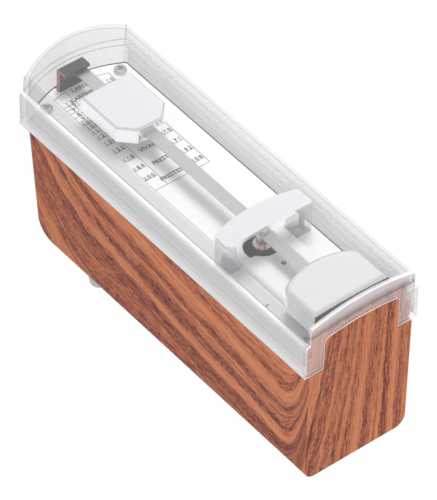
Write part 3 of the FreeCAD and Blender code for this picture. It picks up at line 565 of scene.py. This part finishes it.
# %% [markdown]
# The scale is printed in dark grey. On a print the ink is a raised film, so the figures
# are made from text curves, filled and given a hair of thickness, and laid on the plate's
# face. Slow tempos stand at the top, close together, and fast ones lower down.

# %% Ink
PLATE_FACE = -19.05
INK_THICK = 0.02
LINE = 0.18                                # width of a ruled line
BOLD = 0.05                                # how far the letters swell on each side
LOW_TEMPO, LOW_LINE = 200, 91.4            # this tempo's line is at this height
STEP, CLOSING = 0.332, 0.00022             # slower ones stand higher and closer together


def tempo_height(tempo):
    """Height in millimetres of a tempo's line on the plate."""
    below = LOW_TEMPO - tempo
    return LOW_LINE + below * (STEP - CLOSING * below)


ink = bmesh.new()


def print_line(x0, z0, x1, z1):
    """A straight ink line on the plate."""
    start, end = Vector((x0, z0)), Vector((x1, z1))
    side = (end - start).normalized().orthogonal() * LINE / 2
    corners = [start - side, end - side, end + side, start + side]
    front = [ink.verts.new(Vector((p.x, PLATE_FACE - INK_THICK, p.y)) * MM) for p in corners]
    face = ink.faces.new(front)
    back = bmesh.ops.extrude_face_region(ink, geom=[face])["geom"]
    bmesh.ops.translate(ink, vec=Vector((0, INK_THICK, 0)) * MM,
                        verts=[v for v in back if isinstance(v, bmesh.types.BMVert)])


SIZE_OF_CAPITALS = 1.4                     # text size over the height of its capitals


def print_text(words, x, z, high, spread, align):
    """Words with their foot at height z, centred on or ending at x."""
    curve = bpy.data.curves.new("words", "FONT")
    curve.body, curve.size = words, high * MM * SIZE_OF_CAPITALS
    curve.space_character, curve.align_x = spread, align
    curve.extrude, curve.offset = INK_THICK * MM / 2, BOLD * MM
    text = bpy.data.objects.new("words", curve)
    scene.collection.objects.link(text)
    bpy.context.view_layer.update()
    mesh = bpy.data.meshes.new_from_object(text.evaluated_get(
        bpy.context.evaluated_depsgraph_get()))
    mesh.transform(Matrix.Translation(Vector((x, PLATE_FACE - INK_THICK / 2, z)) * MM)
                   @ Matrix.Rotation(math.pi / 2, 4, "X"))
    ink.from_mesh(mesh)
    bpy.data.objects.remove(text)


FIGURE_HIGH, FIGURE_SPREAD, FIGURE_LIFT = 1.55, 1.4, 0.22
LEFT_MARGIN, RIGHT_MARGIN = 0.7, 0.4       # between a figure and the line beside it
RULE_STOPS = 0.4                           # the left rules end this short of the divider
WORD_HIGH, WORD_MIDDLE = 1.65, 0.3
LEFT_TEMPOS = [63, 69, 76, 84, 92, 100, 108, 116, 126, 138, 152, 168, 184, 200]
RIGHT_TEMPOS = [60, 66, 72, 80, 88, 96, 104, 112, 120, 132, 144, 160, 176, 192, 208]
WORDS = [("LARGO", 136.7), ("LARGHETTO", 133.2), ("ADAGIO", 127.5), ("ANDANTE", 122.0),
         ("MODERATO", 116.0), ("ALLEGRO", 110.0), ("VIVACE", 102.4), ("PRESTO", 95.4),
         ("PRESTISSIMO", 88.3)]
LEFT_EDGE, DIVIDER, RIGHT_COLUMN, RIGHT_EDGE, BOX_FOOT = -10.8, -5.5, 6.3, 10.9, 86.3

for tempo in LEFT_TEMPOS:
    foot = tempo_height(tempo)
    print_text(str(tempo), DIVIDER - LEFT_MARGIN, foot + FIGURE_LIFT,
               FIGURE_HIGH, FIGURE_SPREAD, "RIGHT")
    print_line(LEFT_EDGE, foot, DIVIDER - RULE_STOPS, foot)
for tempo in RIGHT_TEMPOS:
    foot = tempo_height(tempo)
    print_text(str(tempo), RIGHT_EDGE - RIGHT_MARGIN, foot + FIGURE_LIFT,
               FIGURE_HIGH, FIGURE_SPREAD, "RIGHT")
    print_line(RIGHT_COLUMN, foot, RIGHT_EDGE, foot)
for word, foot in WORDS:
    print_text(word, WORD_MIDDLE, foot, WORD_HIGH, 1.0, "CENTER")
print("printed", len(LEFT_TEMPOS) + len(RIGHT_TEMPOS), "tempos and", len(WORDS), "words")

# %% [markdown]
# A ruled box holds the figures. Its top follows the plate's arch in short straight steps,
# with a gap in the middle for the first word.

# %% Ruled box
BOX_TOP, BOX_BEND = 139.2, 0.0152
TOP_RIGHT_FROM, TOP_STEPS = 3.6, 4


def arc_height(x):
    """Height of the box's top line at x, all in millimetres."""
    return BOX_TOP - BOX_BEND * x * x


print_line(DIVIDER, BOX_FOOT, DIVIDER, arc_height(DIVIDER))
print_line(RIGHT_EDGE, BOX_FOOT, RIGHT_EDGE, arc_height(RIGHT_EDGE))
print_line(LEFT_EDGE, BOX_FOOT, RIGHT_EDGE, BOX_FOOT)
for x0, x1 in ((LEFT_EDGE, DIVIDER), (TOP_RIGHT_FROM, RIGHT_EDGE)):
    steps = [x0 + (x1 - x0) * i / TOP_STEPS for i in range(TOP_STEPS + 1)]
    for a, b in zip(steps, steps[1:]):
        print_line(a, arc_height(a), b, arc_height(b))
print("the box is", round(arc_height(0) - BOX_FOOT, 1), "mm high")

# %% [markdown]
# All the ink becomes one piece, which stays with the fixed body of the frame.

# %% Scale print
def piece_from(name, built):
    """A scene object of this name from a bmesh, which is freed."""
    mesh = bpy.data.meshes.new(name)
    built.to_mesh(mesh)
    built.free()
    piece = bpy.data.objects.new(name, mesh)
    scene.collection.objects.link(piece)
    return piece


scale_print = piece_from("scale_print", ink)
scale_print.data.materials.append(enamel("scale ink", colour(40, 40, 42), 0.5))
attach(scale_print, "root")
print("the piece has", len(scale_print.data.polygons), "faces")

# %% [markdown]
# Where two walls of the clear cover meet, the corner pipes light along and shows as a
# fine grey line, even where the walls vanish. A thin bead laid along every sharp edge of
# the cover's mesh draws those lines from any side.

# %% Cover edges
BEAD_R = 0.10
SHARP = math.radians(28)


def bead(mesh, start, end, radius):
    """A four-sided bar from start to end, in metres."""
    along = (end - start).normalized()
    side = along.orthogonal().normalized() * radius
    over = along.cross(side)
    ends = [[mesh.verts.new(p + off) for off in (side, over, -side, -over)]
            for p in (start - along * radius, end + along * radius)]
    first, last = ends
    for i in range(4):
        mesh.faces.new((first[i], first[(i + 1) % 4], last[(i + 1) % 4], last[i]))
    mesh.faces.new(first[::-1])
    mesh.faces.new(last)


shell = bmesh.new()
shell.from_mesh(cover.data)
bmesh.ops.remove_doubles(shell, verts=shell.verts, dist=0.002 * MM)
beads = bmesh.new()
for edge in shell.edges:
    if len(edge.link_faces) == 2 and edge.calc_face_angle() > SHARP:
        bead(beads, edge.verts[0].co, edge.verts[1].co, BEAD_R * MM)
shell.free()
low, high = cad_box
for vert in beads.verts:                   # the beads stay inside the model's box
    vert.co = [min(max(at, a), b) for at, a, b in zip(vert.co, low, high)]
cover_edges = piece_from("cover_edges", beads)
cover_edges.visible_shadow = cover_edges.visible_diffuse = False
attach(cover_edges, "cover")
print("cover edges have", len(cover_edges.data.polygons), "faces")

# %% [markdown]
# The lines are grey on the walls and nearly white round the foot flange. A slow noise
# makes them a little stronger here and weaker there.

# %% Edge gloss
FOOT_LIT = 2.2                             # below this height the edges turn white
edge_gloss = Finish("edge gloss")
ex, ey, ez = edge_gloss.place()
shimmer = edge_gloss.noise(edge_gloss.vector(ex * 0.05, ey * 0.05, ez * 0.03), 1.0)
at_foot = (FOOT_LIT - ez).ramp(0.0, 0.6)
grey_edge = edge_gloss.mix(shimmer, colour(150, 151, 154), colour(185, 186, 189))
cover_edges.data.materials.append(edge_gloss.surface(edge_gloss.principled(
    base_color=edge_gloss.mix(at_foot, grey_edge, colour(250, 250, 252)),
    roughness=0.2, alpha=0.45 + shimmer * 0.2 + at_foot * 0.35)))

# %% [markdown]
# The gap between the plate's edge and the cover's wall lies in shade, painted here as a
# dark line. It is widest at the top and the right, and only a hair on the left. A dark
# ribbon laid over the edge paints that shade, wrapped a little way on to the face.

# %% Plate gap
EDGE_X, EDGE_FOOT, EDGE_FACE, EDGE_DEEP = 18.5, 4.0, -19.09, -18.7
SHOULDER, CROWN = 138.0, 5.2
WIDE_LINE, THIN_LINE = 0.42, 0.12
OVER_EDGE = 0.05                           # the ribbon stands this far past the plate
THIN_POINTS = 4                            # points up the left side with the thin line
ARCH_STEPS = 32


def plate_outline(grow):
    """Up the left side, over the arch and down the right side, as (x, z)."""
    arch = [((EDGE_X + grow) * t, SHOULDER + grow + CROWN * (1 - t * t))
            for t in [2 * i / ARCH_STEPS - 1 for i in range(ARCH_STEPS + 1)]]
    return [(-EDGE_X - grow, EDGE_FOOT), *arch, (EDGE_X + grow, EDGE_FOOT)]


outside = plate_outline(OVER_EDGE)
inside_wide = plate_outline(OVER_EDGE - WIDE_LINE)
inside_thin = plate_outline(OVER_EDGE - THIN_LINE)
inside = [thin if at < THIN_POINTS else wide
          for at, (thin, wide) in enumerate(zip(inside_thin, inside_wide))]
gap = bmesh.new()
rows = [[gap.verts.new(Vector((px, face, pz)) * MM) for px, pz in line]
        for line, face in ((inside, EDGE_FACE), (outside, EDGE_FACE),
                           (outside, EDGE_DEEP), (inside, EDGE_DEEP))]
for a, b in zip(rows, rows[1:] + rows[:1]):
    for i in range(len(a) - 1):
        gap.faces.new((a[i], a[i + 1], b[i + 1], b[i]))
for end in (0, -1):
    gap.faces.new([row[end] for row in rows])
bmesh.ops.recalc_face_normals(gap, faces=gap.faces)
plate_gap_shadow = piece_from("plate_gap_shadow", gap)
plate_gap_shadow.data.materials.append(enamel("gap shade", colour(48, 48, 50), 0.6))
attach(plate_gap_shadow, "root")
print("plate gap has", len(plate_gap_shadow.data.polygons), "faces")
